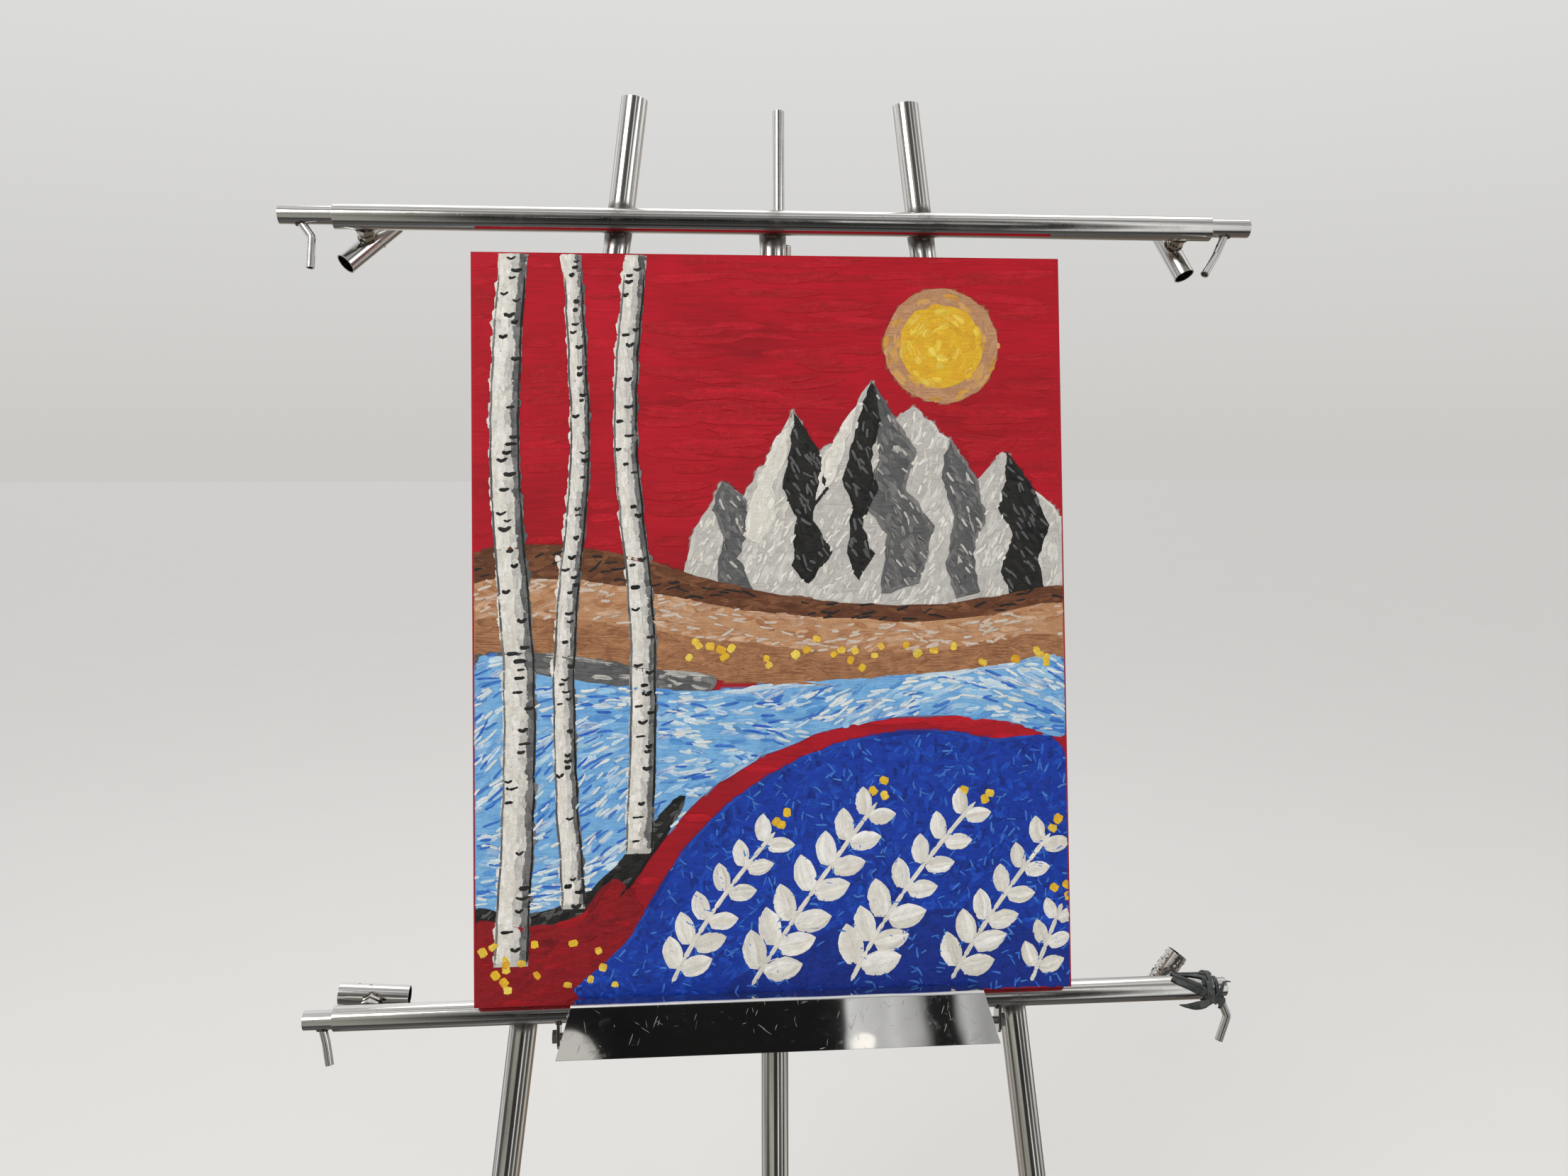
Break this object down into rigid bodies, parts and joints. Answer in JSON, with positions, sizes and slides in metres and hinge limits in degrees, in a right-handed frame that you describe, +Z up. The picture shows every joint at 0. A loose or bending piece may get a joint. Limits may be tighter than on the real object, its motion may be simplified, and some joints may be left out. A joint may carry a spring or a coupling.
{
  "type": "display easel with stretched canvas",
  "caption": "Tubular steel display easel: splayed legs, cross bars with sliding hooked arms, a bent sheet ledge and a stretched canvas leaning on it.",
  "frame": {"origin": "on the floor, in the middle of the easel's box", "axes": "+Z up, the canvas faces -Y, +X to the viewer's right when facing the canvas"},
  "size_m": [1.0095, 0.5552, 1.5411],
  "materials": {
    "tube_steel": "polished, lightly scratched",
    "sheet_steel": "mirror polished, scratched and smudged",
    "fastener_steel": "plain, dull",
    "foot_rubber": "matte",
    "tie_rubber": "stretched, slightly glossy",
    "painted_canvas": "acrylic paint, thick strokes",
    "stretcher_wood": "raw pine"
  },
  "bodies": {
    "frame": {"left_leg": "tube_steel", "right_leg": "tube_steel", "mast": "tube_steel", "top_bar": "tube_steel", "bottom_bar": "tube_steel", "arm_bottom_right": "tube_steel", "hook_bottom_right": "tube_steel", "lock_screw_top_left": "tube_steel", "lock_screw_top_right": "tube_steel", "lock_screw_bottom_left": "tube_steel", "lock_screw_bottom_right": "tube_steel", "tray_bracket_left": "tube_steel", "tray_bracket_right": "tube_steel", "tray": "sheet_steel", "tray_bolt_left": "fastener_steel", "tray_bolt_right": "fastener_steel", "hinge_lug": "fastener_steel", "hinge_bolt": "fastener_steel", "foot_left": "foot_rubber", "foot_right": "foot_rubber", "foot_mast": "foot_rubber", "rubber_tie": "tie_rubber", "canvas_cloth": "painted_canvas", "stretcher_bottom": "stretcher_wood", "stretcher_top": "stretcher_wood", "stretcher_left": "stretcher_wood", "stretcher_right": "stretcher_wood"},
    "rear_leg": {"rear_leg": "tube_steel", "foot_rear": "foot_rubber"},
    "mast_rod": {"mast_rod": "tube_steel"},
    "arm_top_left": {"arm_top_left": "tube_steel", "hook_top_left": "tube_steel"},
    "arm_top_right": {"arm_top_right": "tube_steel", "hook_top_right": "tube_steel"},
    "arm_bottom_left": {"arm_bottom_left": "tube_steel", "hook_bottom_left": "tube_steel"}
  },
  "joints": [
    {"name": "rear_leg_fold", "type": "hinge", "parent": "frame", "child": "rear_leg", "pos_m": [0.0032, -0.05098, 1.36735], "axis": [1, 0, 0], "range_deg": [-18, 0]},
    {"name": "arm_top_left_slide", "type": "slide", "parent": "frame", "child": "arm_top_left", "axis": [-1, 0, 0], "range_m": [-0.017, 0.18]},
    {"name": "arm_top_right_slide", "type": "slide", "parent": "frame", "child": "arm_top_right", "axis": [1, 0, 0], "range_m": [-0.003, 0.18]},
    {"name": "arm_bottom_left_slide", "type": "slide", "parent": "frame", "child": "arm_bottom_left", "axis": [-1, 0, 0], "range_m": [0, 0.18]},
    {"name": "mast_rod_slide", "type": "slide", "parent": "frame", "child": "mast_rod", "axis": [0.0068, 0.1253, 0.9921], "range_m": [-0.13, 0.2]}
  ]
}
